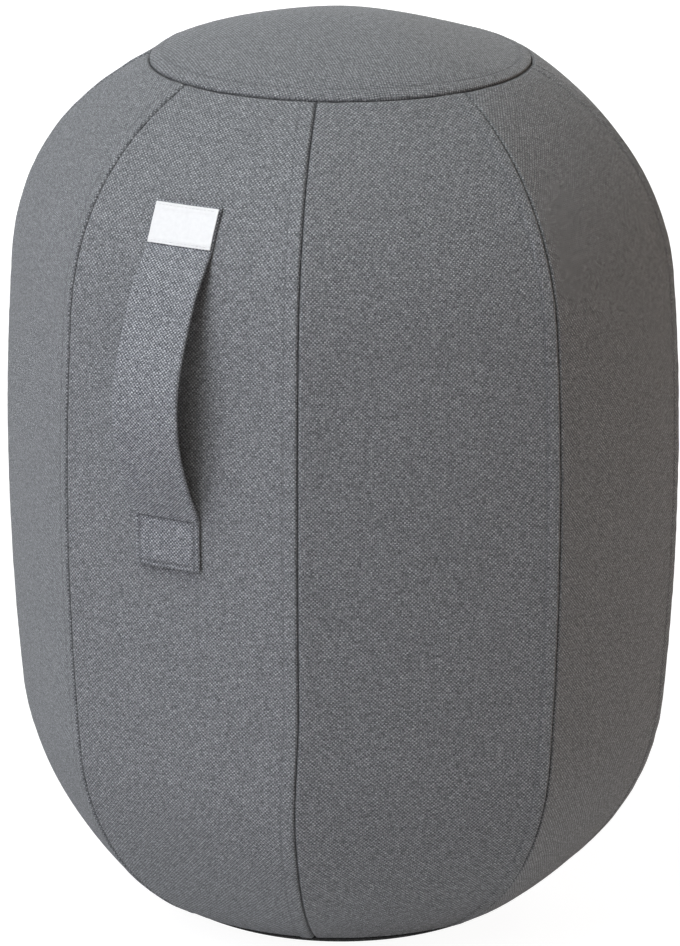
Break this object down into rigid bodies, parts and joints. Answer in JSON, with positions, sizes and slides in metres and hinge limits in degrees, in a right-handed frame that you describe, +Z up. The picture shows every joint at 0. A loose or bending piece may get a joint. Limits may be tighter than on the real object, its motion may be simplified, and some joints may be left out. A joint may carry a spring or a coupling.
{
  "type": "wobble stool",
  "caption": "Air-filled fabric seat pillar with a rounded base, upright seamed panels, a domed top and a sewn strap handle.",
  "frame": {"origin": "middle of the base, on the floor", "axes": "+Z up along the pillar, -Y towards the side with the handle, +X to the handle's right as seen from the front"},
  "size_m": [0.3426, 0.3676, 0.488],
  "materials": {
    "cover_fabric": "grey melange plain weave",
    "strap_fabric": "grey melange plain weave, finer",
    "base_fabric": "coated, hard-wearing, matt black",
    "label_fabric": "woven satin, plain white",
    "bladder_skin": "smooth matt vinyl",
    "valve_plastic": "soft moulded vinyl",
    "zip_tape": "woven tape, black",
    "zip_plastic": "moulded coil, black",
    "zip_metal": "die-cast, black paint"
  },
  "bodies": {
    "stool": {"cover_panel_1": "cover_fabric", "cover_panel_2": "cover_fabric", "cover_panel_3": "cover_fabric", "cover_panel_4": "cover_fabric", "cover_panel_5": "cover_fabric", "cover_panel_6": "cover_fabric", "cover_panel_7": "cover_fabric", "cover_panel_8": "cover_fabric", "top_panel": "cover_fabric", "base_panel": "base_fabric", "air_bladder": "bladder_skin", "valve_seat": "valve_plastic", "zip_tape_upper": "zip_tape", "zip_tape_lower": "zip_tape", "zip_coil_upper": "zip_plastic", "zip_coil_lower": "zip_plastic", "zip_stops": "zip_metal", "handle_strap": "strap_fabric", "handle_label": "label_fabric"},
    "zip_slider": {"zip_slider": "zip_metal"},
    "zip_pull": {"zip_pull": "zip_metal"},
    "valve_plug": {"valve_plug": "valve_plastic"}
  },
  "joints": [
    {"name": "zip_travel", "type": "hinge", "parent": "stool", "child": "zip_slider", "pos_m": [0, 0, 0.013], "axis": [0, 0, 1], "range_deg": [0, 123.42]},
    {"name": "pull_swing", "type": "hinge", "parent": "zip_slider", "child": "zip_pull", "pos_m": [0.08751, 0.04709, 0.00999], "axis": [0.7477, 0.4024, 0.5283], "range_deg": [0, 175]},
    {"name": "plug_pull", "type": "slide", "parent": "stool", "child": "valve_plug", "axis": [0, 1, 0], "range_m": [0, 0.008]}
  ]
}
